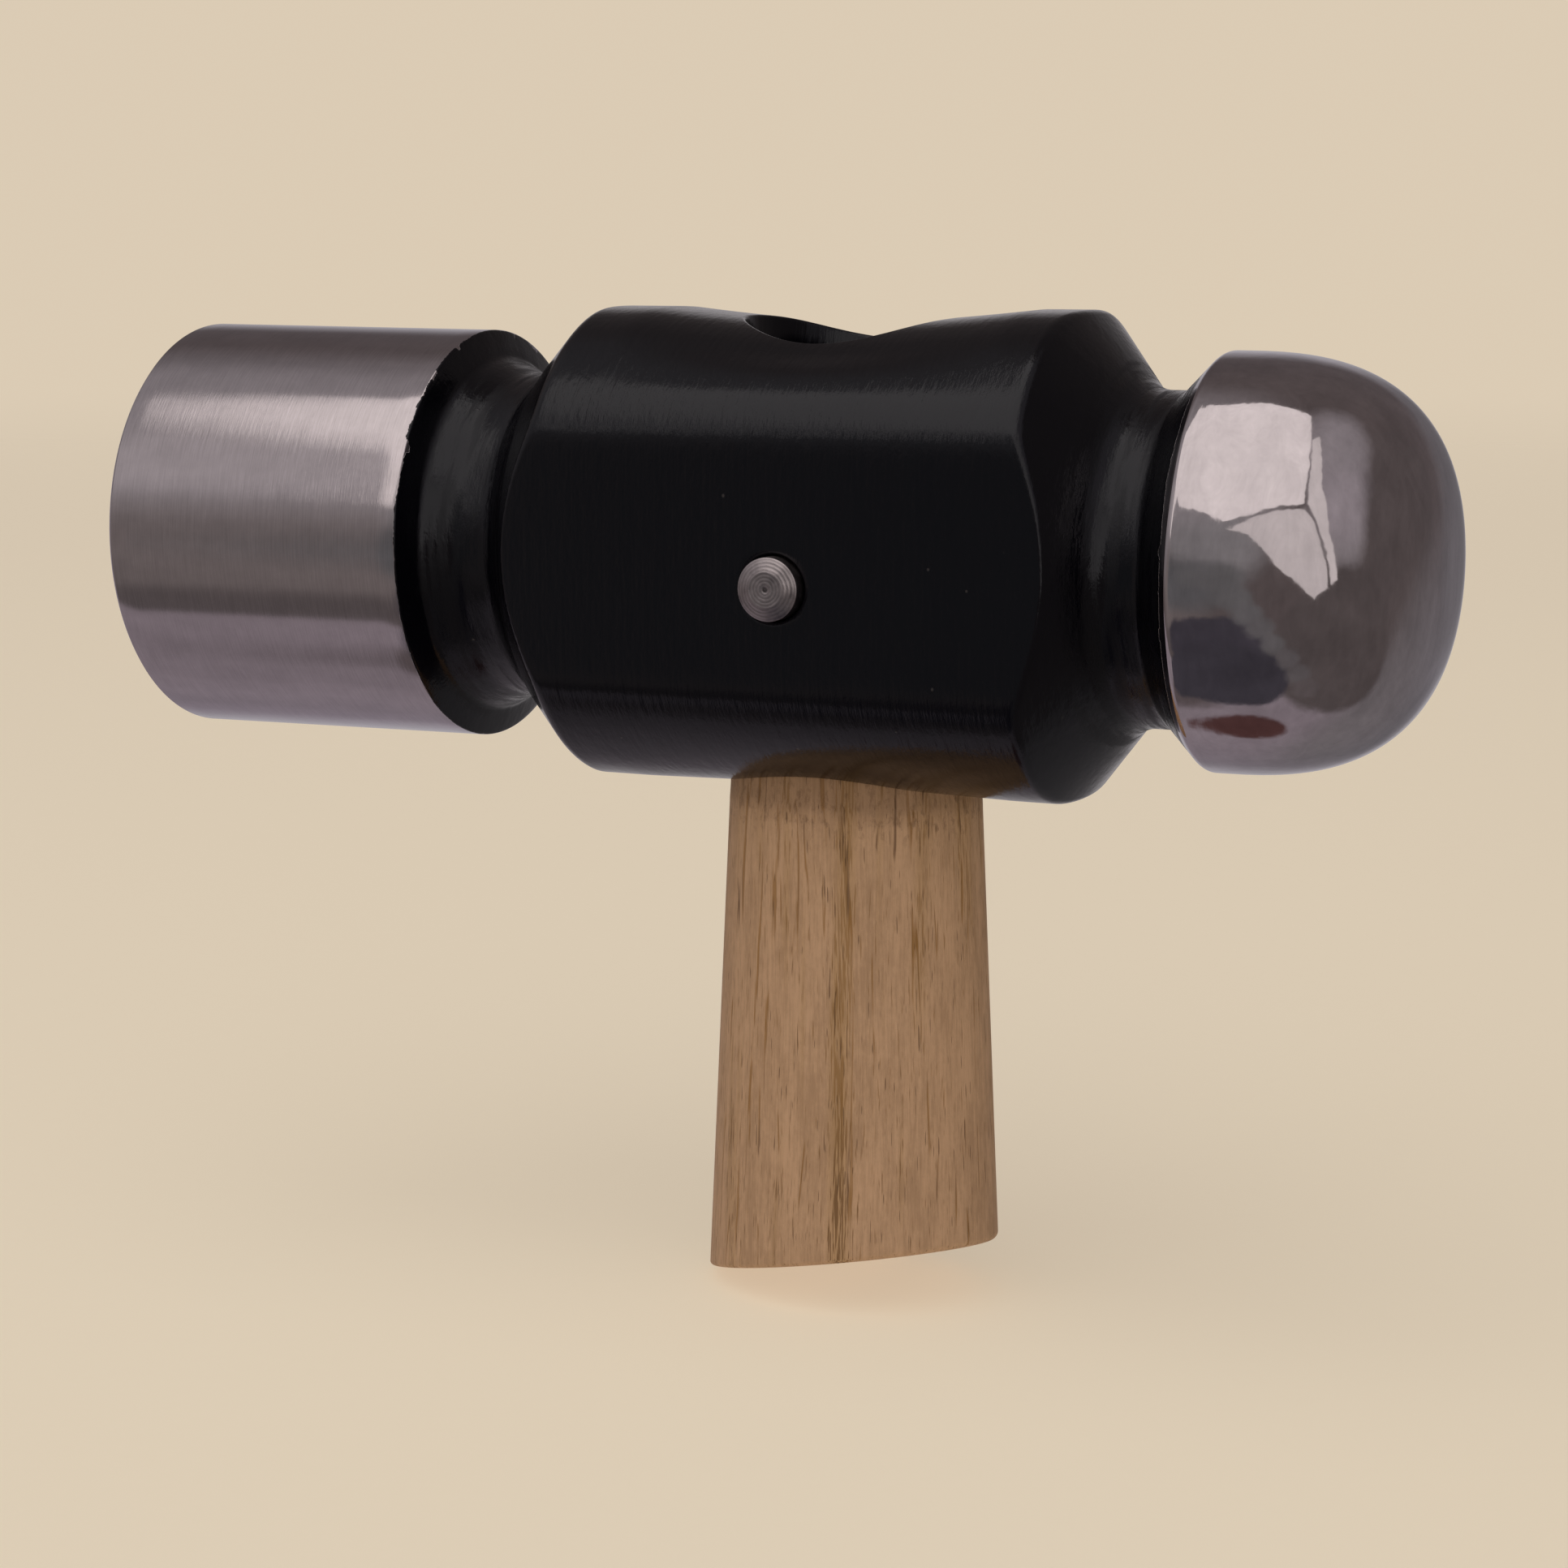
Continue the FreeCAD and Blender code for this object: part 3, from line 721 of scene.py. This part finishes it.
def head_finish():
    """Ground steel on the poll and polished steel on the ball, black paint between them.

    The paint's edges wander with noise and have small chips. Every zone's colour, roughness and bump
    are mixed by where the point lies along the head.
    """
    finish = Finish(bpy.data.materials.new("head_steel_and_black_paint"))
    place = finish.millimetres()
    wrapped, x, z, radius = round_the_axis(finish, place)

    # Millimetres inside the paint's edge, which frays, wanders and has chips. Down the poll's step the
    # fall counts too, so that the distance runs along the surface.
    fray = finish.noise(finish.stretch(wrapped, (1.6, 0.9, 0.9)), 1.0, 4.0, 0.65)
    sweep = finish.noise(finish.stretch(wrapped, (0.1, 0.16, 0.16)), 1.0, 2.0)
    chips = finish.ramp(finish.noise(finish.stretch(wrapped, (0.5, 0.4, 0.4)), 1.0, 3.0, 0.6), 0.58, 0.66)
    on_ball = finish.ramp(x, STEEL_SPLIT_X, STEEL_SPLIT_X + 1.0)
    step_fall = finish.larger(POLL_REAR_RADIUS / MM - radius, 0.0)
    inside = finish.smaller(x - POLL_PAINT_X + step_fall, BALL_PAINT_X - x)
    ragged = finish.ramp(z, -2.0, 6.0, 0.35, 1.0) * finish.blend(on_ball, 1.0, 0.5)
    inside = inside + ((fray - 0.5) * 0.9 + (sweep - 0.5) * 0.7 - chips * 0.6) * ragged
    paint = finish.ramp(inside, -0.02, 0.03)
    thick_edge = finish.ramp(inside, 0.0, 0.35)

    # Ground poll: fine rings round the axis, deeper scratches and faint darker patches.
    rings = finish.noise(finish.stretch(wrapped, (9.0, 0.3, 0.3)), 1.0, 3.0, 0.7)
    scratches = finish.noise(finish.stretch(wrapped, (3.5, 0.9, 0.9)), 1.0, 3.0, 0.65)
    patches = finish.noise(finish.stretch(wrapped, (0.3, 0.45, 0.45)), 1.0, 3.0, 0.6)
    poll_tone = finish.blend(rings, 0.76, 1.18) * finish.blend(patches, 0.84, 1.12)
    # Polished ball: faint buffing marks, cloudy patches and smears.
    buffing = finish.noise(finish.stretch(wrapped, (3.0, 0.3, 0.3)), 1.0, 3.0, 0.6)
    clouds = finish.noise(place, 0.22, 4.0, 0.6)
    smears = finish.noise(finish.stretch(place, (0.5, 0.5, 0.14)), 1.0, 4.0, 0.65, 1.5)
    ball_tone = (finish.blend(clouds, 0.78, 1.18) * finish.blend(buffing, 0.92, 1.08)
                 * finish.blend(smears, 0.82, 1.16))
    tone = finish.blend(on_ball, poll_tone, ball_tone)
    steel = finish.tint(tone, HEAD_STEEL)

    # Paint: nearly black, with a few grey specks of dust, smooth but for streaks on the necks.
    specks = finish.ramp(finish.cells(wrapped, 0.35), 0.03, 0.06, 1.0, 0.0)
    dust = specks * finish.ramp(finish.noise(wrapped, 0.13, 1.0), 0.52, 0.58)
    colour = finish.colours(paint, steel, finish.colours(dust, ENAMEL, DUST))

    steel_roughness = finish.blend(on_ball, 0.07 + rings * 0.08, 0.03 + smears * 0.06)
    streaks = finish.noise(finish.stretch(wrapped, (1.1, 0.1, 0.1)), 1.0, 4.0, 0.6)
    on_necks = finish.ramp(radius, 18.0, 16.6)
    paint_roughness = 0.08 + streaks * 0.12 + on_necks * finish.ramp(streaks, 0.42, 0.62) * 0.25
    roughness = finish.blend(paint, steel_roughness, paint_roughness)

    # Heights: grinding rings on the poll, ripples on the ball, brush marks, lumps and a thick edge in
    # the paint, which stands over the steel.
    poll_height = rings * 0.30 + scratches * 0.22
    ball_height = finish.noise(place, 0.26, 3.0, 0.5) * 2.6 + buffing * 0.12
    brush_marks = finish.noise(finish.stretch(wrapped, (2.0, 0.12, 0.12)), 1.0, 3.0, 0.6)
    lumps = finish.noise(wrapped, 0.42, 4.0, 0.55)
    fuzz = finish.noise(finish.stretch(wrapped, (1.8, 0.7, 0.7)), 1.0, 4.0, 0.7)
    paint_height = brush_marks * 2.4 + lumps * 3.0 + fuzz * 3.4 + dust * 0.8 + thick_edge * 1.2
    steel_height = finish.blend(on_ball, poll_height, ball_height)
    relief = finish.blend(paint, steel_height, paint_height + 1.0)
    return finish.surface(Base_Color=colour, Metallic=1 - paint, Roughness=roughness,
                          Normal=finish.bump(relief, STEEL_RELIEF), Specular_IOR_Level=0.43,
                          Specular_Tint=(0.93, 0.95, 1.0))


def wood_finish(name, tone=1.0):
    """Pale hardwood as a solid: fibres, bands, pores, vessels and ochre streaks all run along Z, so the
    sides show lines and the ends show dots. The wood is crushed and creased just below the head, with
    a painted shadow of the head darkening it there. Every colour is multiplied by the tone."""
    finish = Finish(bpy.data.materials.new(name))
    wood = {part: tuple(tone * share for share in colour) for part, colour in WOOD.items()}
    local = finish.vectors("SUBTRACT", finish.millimetres(), (EYE_X / MM, 0.0, 0.0))
    x, y, z = finish.split(local)
    sway = finish.noise(finish.stretch(local, (0.06, 0.06, 0.02)), 1.0, 2.0)
    bent = finish.join(x + sway * 1.6, y, z)

    fibres = finish.noise(finish.stretch(bent, (4.0, 4.0, 0.12)), 1.0, 4.0, 0.7)
    fine = finish.noise(finish.stretch(bent, (9.0, 9.0, 1.1)), 1.0, 3.0, 0.7)
    bands = finish.noise(finish.stretch(bent, (0.3, 0.1, 0.008)), 1.0, 3.0, 0.6)
    fleck = finish.noise(finish.stretch(local, (1.6, 1.6, 0.8)), 1.0, 4.0, 0.7)

    # Ochre streaks: dashes gathered along one line up the front and in a few looser groups.
    main = finish.ramp(finish.absolute(x - STREAK_X - (sway - 0.5) * 1.5), 0.1, 1.5, 1.0, 0.0)
    second = finish.ramp(finish.absolute(x - SECOND_STREAK_X), 0.1, 0.9, 0.55, 0.0)
    second = second * finish.ramp(z, -46.0, -36.0)
    groups = finish.ramp(finish.noise(finish.stretch(bent, (0.55, 0.4, 0.02)), 1.0, 2.0), 0.56, 0.7)
    gather = finish.smaller(main + second + groups * 0.55, 1.0)
    dashes = finish.noise(finish.stretch(bent, (7.0, 7.0, 0.2)), 1.0, 2.0, 0.5)
    ochre = finish.ramp(dashes + gather * 0.18, 0.62, 0.74)

    # Long thin vessels: where a slow noise passes its middle, kept in some stretches only.
    level = finish.absolute(finish.noise(finish.stretch(bent, (0.8, 0.8, 0.012)), 1.0, 1.0, 0.4) - 0.5)
    kept = finish.ramp(finish.noise(finish.stretch(bent, (1.5, 1.5, 0.09)), 1.0, 2.0) + gather * 0.06,
                       0.52, 0.60)
    vessels = finish.ramp(level, 0.005, 0.035, 1.0, 0.0) * kept
    dark_share = finish.ramp(finish.noise(finish.stretch(bent, (0.9, 0.9, 0.05)), 1.0, 1.0), 0.56, 0.66)
    glow = gather * finish.ramp(fibres, 0.3, 0.6, 0.4, 0.9)
    mottle = finish.noise(finish.stretch(bent, (0.45, 0.45, 0.1)), 1.0, 4.0, 0.65)
    pore_lines = finish.noise(finish.stretch(bent, (6.5, 6.5, 0.22)), 1.0, 1.0, 0.3)
    pores = finish.ramp(pore_lines + gather * 0.05, 0.715, 0.78)

    share = finish.ramp(fibres * 0.35 + bands * 0.15 + mottle * 0.3 + fleck * 0.2, 0.39, 0.60)
    colour = finish.colours(share, wood["dark"], wood["pale"])
    colour = finish.colours(glow * 0.45, colour, wood["honey"])
    colour = finish.colours(ochre * 0.62, colour, wood["ochre"])
    vessel_colour = finish.colours(dark_share, wood["amber"], wood["brown"])
    colour = finish.colours(vessels * 0.7, colour, vessel_colour)
    colour = finish.colours(pores * 0.6, colour, wood["brown"])
    foot_marks = finish.ramp(z, -46.0, -58.0) * finish.ramp(dashes + gather * 0.2, 0.66, 0.76)
    colour = finish.colours(foot_marks * 0.55, colour, wood["brown"])

    # Crushed fibres and a crease just below the head, and a band of painted shadow where the head shades
    # the wood.
    gap_below_head = finish.absolute(z + CREASE_DROP + (sway - 0.5) * 7.0 + (mottle - 0.5) * 2.5)
    crease = finish.ramp(gap_below_head, 0.0, 0.7, 1.0, 0.0) * finish.ramp(fleck, 0.42, 0.62)
    crushed = finish.ramp(z, -CREASE_DROP - 4.5, -CREASE_DROP + 0.5)
    colour = finish.colours(crushed * finish.ramp(fleck, 0.5, 0.66) * 0.4, colour, wood["brown"])
    colour = finish.colours(crease * 0.24, colour, wood["brown"])
    # Painted shadow: the wood darkens towards the head's underside, as if shaded by the head.
    painted_shadow_below_head = finish.ramp(z + (mottle - 0.5) * 4.0, -CROWN / MM - 2.6, -CROWN / MM - 0.2)
    colour = finish.colours(painted_shadow_below_head * 0.4, colour, wood["brown"])

    height = fibres * 0.6 + fine * 0.5 - pores * 1.0 - ochre * 0.3 - vessels * 0.6
    height = height + crushed * fleck * 1.6 - crease * 0.8
    roughness = 0.5 + fibres * 0.2 + pores * 0.15
    return finish.surface(Base_Color=colour, Roughness=roughness,
                          Normal=finish.bump(height, WOOD_RELIEF), Specular_IOR_Level=0.35)


def turned_steel_finish():
    """Pin's steel: fine turning rings about its axis, as a sine of the radius with noise, dulled in
    patches, and darkened in the dimple by painted shade."""
    finish = Finish(bpy.data.materials.new("turned_steel"))
    place = finish.millimetres()
    x, _, z = finish.split(place)
    x, z = x - EYE_X / MM, z - PIN_Z / MM
    radius = (x * x + z * z) ** 0.5
    uneven = finish.noise(place, 1.3, 4.0, 0.6)
    phase = radius * 21.0 + uneven * 3.0
    rings = finish.node("ShaderNodeMath", {"operation": "SINE"}, {0: phase})
    stain = finish.ramp(finish.noise(place, 0.5, 3.0, 0.6), 0.5, 0.7)
    tone = 0.78 + rings * 0.10 + (uneven - 0.5) * 0.6 - stain * 0.24
    # Painted shade: the tone darkens towards the middle, in the dimple.
    tone = tone * finish.ramp(radius, 0.1, 0.35, 0.4, 1.0)
    return finish.surface(Base_Color=finish.tint(tone, PIN_STEEL), Metallic=1.0,
                          Roughness=0.24 + uneven * 0.24,
                          Normal=finish.bump(rings * 0.5 + uneven * 0.8, STEEL_RELIEF))


def wedge_steel_finish():
    """Mild steel of the small wedges: dark scale with a hammered, brighter top and a little rust."""
    finish = Finish(bpy.data.materials.new("wedge_steel"))
    place = finish.millimetres()
    dents = finish.noise(place, 1.4, 3.0, 0.6)
    rust = finish.ramp(finish.noise(place, 0.7, 4.0, 0.7), 0.55, 0.7)
    colour = finish.colours(dents, (0.16, 0.155, 0.15), (0.36, 0.35, 0.34))
    colour = finish.colours(rust * 0.7, colour, (0.12, 0.055, 0.025))
    return finish.surface(Base_Color=colour, Metallic=1 - rust * 0.7, Roughness=0.38 + rust * 0.35,
                          Normal=finish.bump(dents + rust * 0.4, WEDGE_RELIEF))


# ======== Studio ========

def direction(azimuth, elevation):
    """Unit vector for degrees of azimuth from the front (-Y) towards +X, and of elevation."""
    azimuth, elevation = math.radians(azimuth), math.radians(elevation)
    return Vector((math.sin(azimuth) * math.cos(elevation), -math.cos(azimuth) * math.cos(elevation),
                   math.sin(elevation)))


PALE = (0.71, 0.60, 0.46)            # backdrop
PAPER = (0.58, 0.54, 0.41)
FLOOR_GLOW = 0.66                    # light that the paper gives off, so that it meets the backdrop
FLOOR_RADIUS = 2.2
FLOOR_CROWDING = 1.6                 # power that crowds the floor's rings towards its middle
FLOOR_FADE = (500.0, 1900.0)         # in millimetres from the hammer

CAMERA_LENS = 75.73                  # millimetres, on a sensor 36 mm wide
CAMERA_DIRECTION = (23.79, 9.37)     # azimuth and elevation of the camera from its target
CAMERA_DISTANCE = 0.3027
CAMERA_TARGET = (EYE_X - 7.12 * MM, 0, -21.99 * MM)

SOFTBOX_DISTANCE = 1.5
SOFTBOX_COLOUR = (1.0, 0.93, 0.91)
PANEL_GLOW = (0.97, 0.72, 0.76)      # of each panel, the first being nearest to the lamp

# Corners of the softbox's three cloth panels, as (azimuth, elevation). Thin seams part them.
SOFTBOX_PANELS = (
    ((-23, 38), (-18, 33), (-8, 26), (3, 31.5), (15, 36.5), (32.5, 37), (36.5, 47), (60, 71),
     (120, 77), (-150, 78), (-117, 74), (-70, 70), (-77, 63), (-79, 57), (-72, 53), (-62, 49.5),
     (-52, 45.5), (-44, 42), (-37, 39), (-32, 29), (-30, 17), (-24, 15), (-22.5, 27)),
    ((-6, 23), (3, 29.5), (15, 34.5), (33, 34.5), (37, 29), (46, 4), (47, -7), (38, -13), (18, 2),
     (2, 21)),
    ((35, 36.5), (38.5, 46.5), (64, 70.5), (79, 70), (50, 46), (49, 20), (54, -3), (49, -5), (48, 4),
     (39, 29.5)),
)

# Round patches of the room, painted one over another: azimuth, elevation, solid inside this angle,
# gone outside this angle, colour.
ROOM_PATCHES = (
    (-50, 42, 22, 62, (0.32, 0.297, 0.308)),       # scrim on the left
    (-43, 33, 0, 22, (0.42, 0.39, 0.40)),          # its bright foot
    (-34, 8, 2, 14, (0.31, 0.285, 0.29)),
    (100, 6, 44, 47, (0.118, 0.100, 0.098)),       # brown wall on the right
    (-8, 12, 4, 22, (0.26, 0.25, 0.255)),          # spill below the softbox
    (60, 18, 0, 22, (0.30, 0.275, 0.285)),         # pale door in it, from its foot to its top
    (59, 32, 0, 26, (0.36, 0.325, 0.345)),
    (68, 46, 0, 26, (0.36, 0.325, 0.345)),
    (92, 62, 0, 24, (0.34, 0.31, 0.325)),
    (-36, -12, 6, 30, (0.20, 0.175, 0.17)),        # grey below the scrim
    (-42, -36, 1, 14, (0.115, 0.10, 0.10)),        # dark gap under that
    (-18, -7, 7, 17, (0.125, 0.125, 0.13)),        # deep grey in front
    (-140, -58, 60, 62, (0.29, 0.25, 0.275)),      # table top
    (-165, -8, 12, 40, (0.46, 0.43, 0.44)),        # back wall on the left
    (150, -40, 20, 45, (0.20, 0.185, 0.19)),       # back wall low on the right
    (172, 4, 4, 22, (0.165, 0.15, 0.152)),         # strip behind
    (62, -36, 36, 42, (0.108, 0.092, 0.09)),       # table's shaded side
    (-50, -63, 5, 12, (0.13, 0.108, 0.11)),        # stain on the table
    (-9, -37, 13, 16, (0.060, 0.055, 0.068)),      # dark cloth in front of the table
    (-8, -57, 17, 20, (0.058, 0.054, 0.066)),
    (-112, -83, 8, 11, (0.10, 0.048, 0.045)),      # red offcut under the hammer
    (-8, -2, 4, 11, (0.15, 0.148, 0.15)),          # pale strap across the cloth
    (-4, -13, 3, 9, (0.15, 0.148, 0.15)),
    (1, -21, 3, 8, (0.145, 0.142, 0.145)),
    (7, -29, 3, 8, (0.14, 0.135, 0.138)),
    (14, -38, 3, 8, (0.14, 0.135, 0.138)),
    (23, -46, 3, 8, (0.14, 0.13, 0.133)),
    (34, -55, 3, 8, (0.135, 0.125, 0.127)),
    (47, -63, 3, 8, (0.13, 0.113, 0.113)),
)
ROOM_BASE = (0.122, 0.102, 0.10)
ROOM_WOBBLE = 0.09                   # how far noise bends the look, whose length is 1


def softbox():
    """Each panel is one face, its corners at the softbox's distance in their directions."""
    centre = Vector((EYE_X, 0, 0))
    for number, (corners, strength) in enumerate(zip(SOFTBOX_PANELS, PANEL_GLOW)):
        finish = Finish(bpy.data.materials.new(f"softbox_cloth_{number}"))
        glow = finish.node("ShaderNodeEmission", None, {"Color": SOFTBOX_COLOUR, "Strength": strength})
        finish.fill(finish.nodes["Material Output"].inputs["Surface"], glow)
        points = [centre + direction(*corner) * SOFTBOX_DISTANCE for corner in corners]
        panel = mesh_object(f"softbox_{number}", points, [range(len(points))], finish.owner)
        panel.visible_camera = False


def room():
    """World light: the room's patches mixed in turn over its base, each by a smooth step of the angle
    from the patch's middle. Noise bends their edges and clouds their tone. The camera sees the plain
    pale backdrop instead."""
    world = bpy.data.worlds.new("room")
    bpy.context.scene.world = world
    finish = Finish(world)
    look = finish.node("ShaderNodeTexCoord", output=0)
    stray = finish.node("ShaderNodeTexNoise", None,
                        {"Vector": look, "Scale": 3.5, "Detail": 5.0, "Roughness": 0.6}, output=1)
    stray = finish.vectors("SUBTRACT", stray, (0.5, 0.5, 0.5))
    stray = finish.stretch(stray, (ROOM_WOBBLE, ROOM_WOBBLE, ROOM_WOBBLE))
    bent = finish.vectors("ADD", look, stray)
    bent = finish.node("ShaderNodeVectorMath", {"operation": "NORMALIZE"}, {0: bent})
    light = ROOM_BASE
    for azimuth, elevation, solid, gone, colour in ROOM_PATCHES:
        facing = finish.vectors("DOT_PRODUCT", bent, direction(azimuth, elevation), output=1)
        share = finish.ramp(facing, math.cos(math.radians(gone)), math.cos(math.radians(solid)))
        light = finish.colours(share, light, colour)
    clouds = finish.blend(finish.noise(bent, 2.6, 5.0, 0.6), 0.7, 1.3)
    light = finish.colours(1.0, light, finish.join(clouds, clouds, clouds), "MULTIPLY")
    seen = finish.node("ShaderNodeLightPath")
    finish.fill(finish.nodes["Background"].inputs["Color"], finish.colours(seen, light, PALE))


def floor():
    """Round pale floor at the foot of the hammer, of rings about the eye's axis, that fades into the
    backdrop far away."""
    height = cad_box[0][2]
    rings, turns = 24, 96
    angles = 2 * math.pi * np.arange(turns) / turns
    radii = FLOOR_RADIUS * np.linspace(0, 1, rings + 1)[1:] ** FLOOR_CROWDING
    points = np.stack([EYE_X + radii[:, None] * np.cos(angles), radii[:, None] * np.sin(angles),
                       height + 0 * radii[:, None] * angles], -1)
    finish = Finish(bpy.data.materials.new("pale_paper"))
    place = finish.millimetres()
    fibres = finish.noise(place, 0.5, 4.0, 0.6)
    x, y, _ = finish.split(place)
    far = finish.ramp((x * x + y * y) ** 0.5, *FLOOR_FADE)
    colour = finish.colours(fibres, tuple(0.99 * part for part in PAPER),
                            tuple(1.01 * part for part in PAPER))
    finish.surface(Base_Color=colour, Roughness=0.95, Specular_IOR_Level=0.1, Emission_Color=PALE,
                   Emission_Strength=FLOOR_GLOW, Normal=finish.bump(fibres, PAPER_RELIEF, 0.3))
    clear = finish.node("ShaderNodeBsdfTransparent")
    paper = Value(finish, finish.nodes["Principled BSDF"].outputs[0])
    fade = finish.node("ShaderNodeMixShader", None, {0: far, 1: paper, 2: clear})
    finish.fill(finish.nodes["Material Output"].inputs["Surface"], fade)
    surface = Surface()
    grid = surface.add(points)
    surface.quads(grid, closed=True)
    surface.fan(grid[0], [EYE_X, 0, height])
    paper_floor = surface.piece("floor", finish.owner, smooth=False)
    paper_floor.visible_glossy = False


def camera():
    """Long lens, looking at the hammer from the front and a little from the ball's side and above."""
    data = bpy.data.cameras.new("camera")
    data.lens = CAMERA_LENS
    data.sensor_width = 36.0
    data.clip_start = 0.01
    back = direction(*CAMERA_DIRECTION)
    eye = bpy.data.objects.new("camera", data)
    eye.location = Vector(CAMERA_TARGET) + back * CAMERA_DISTANCE
    eye.rotation_mode = "QUATERNION"
    eye.rotation_quaternion = back.to_track_quat("Z", "Y")
    bpy.context.collection.objects.link(eye)
    bpy.context.scene.camera = eye


# ======== The hammer in its studio ========

hammer_head(head_finish())
handle_stick(wood_finish("handle_wood"))
turned_pin(turned_steel_finish())
bpy.data.objects["wooden_wedge"].material_slots[0].material = wood_finish("wedge_wood", 0.8)
wedge_steel = wedge_steel_finish()
for name in ("steel_wedge_poll_side", "steel_wedge_ball_side"):
    bpy.data.objects[name].material_slots[0].material = wedge_steel
softbox()
room()
floor()
camera()
bpy.context.scene.view_settings.view_transform = "Standard"
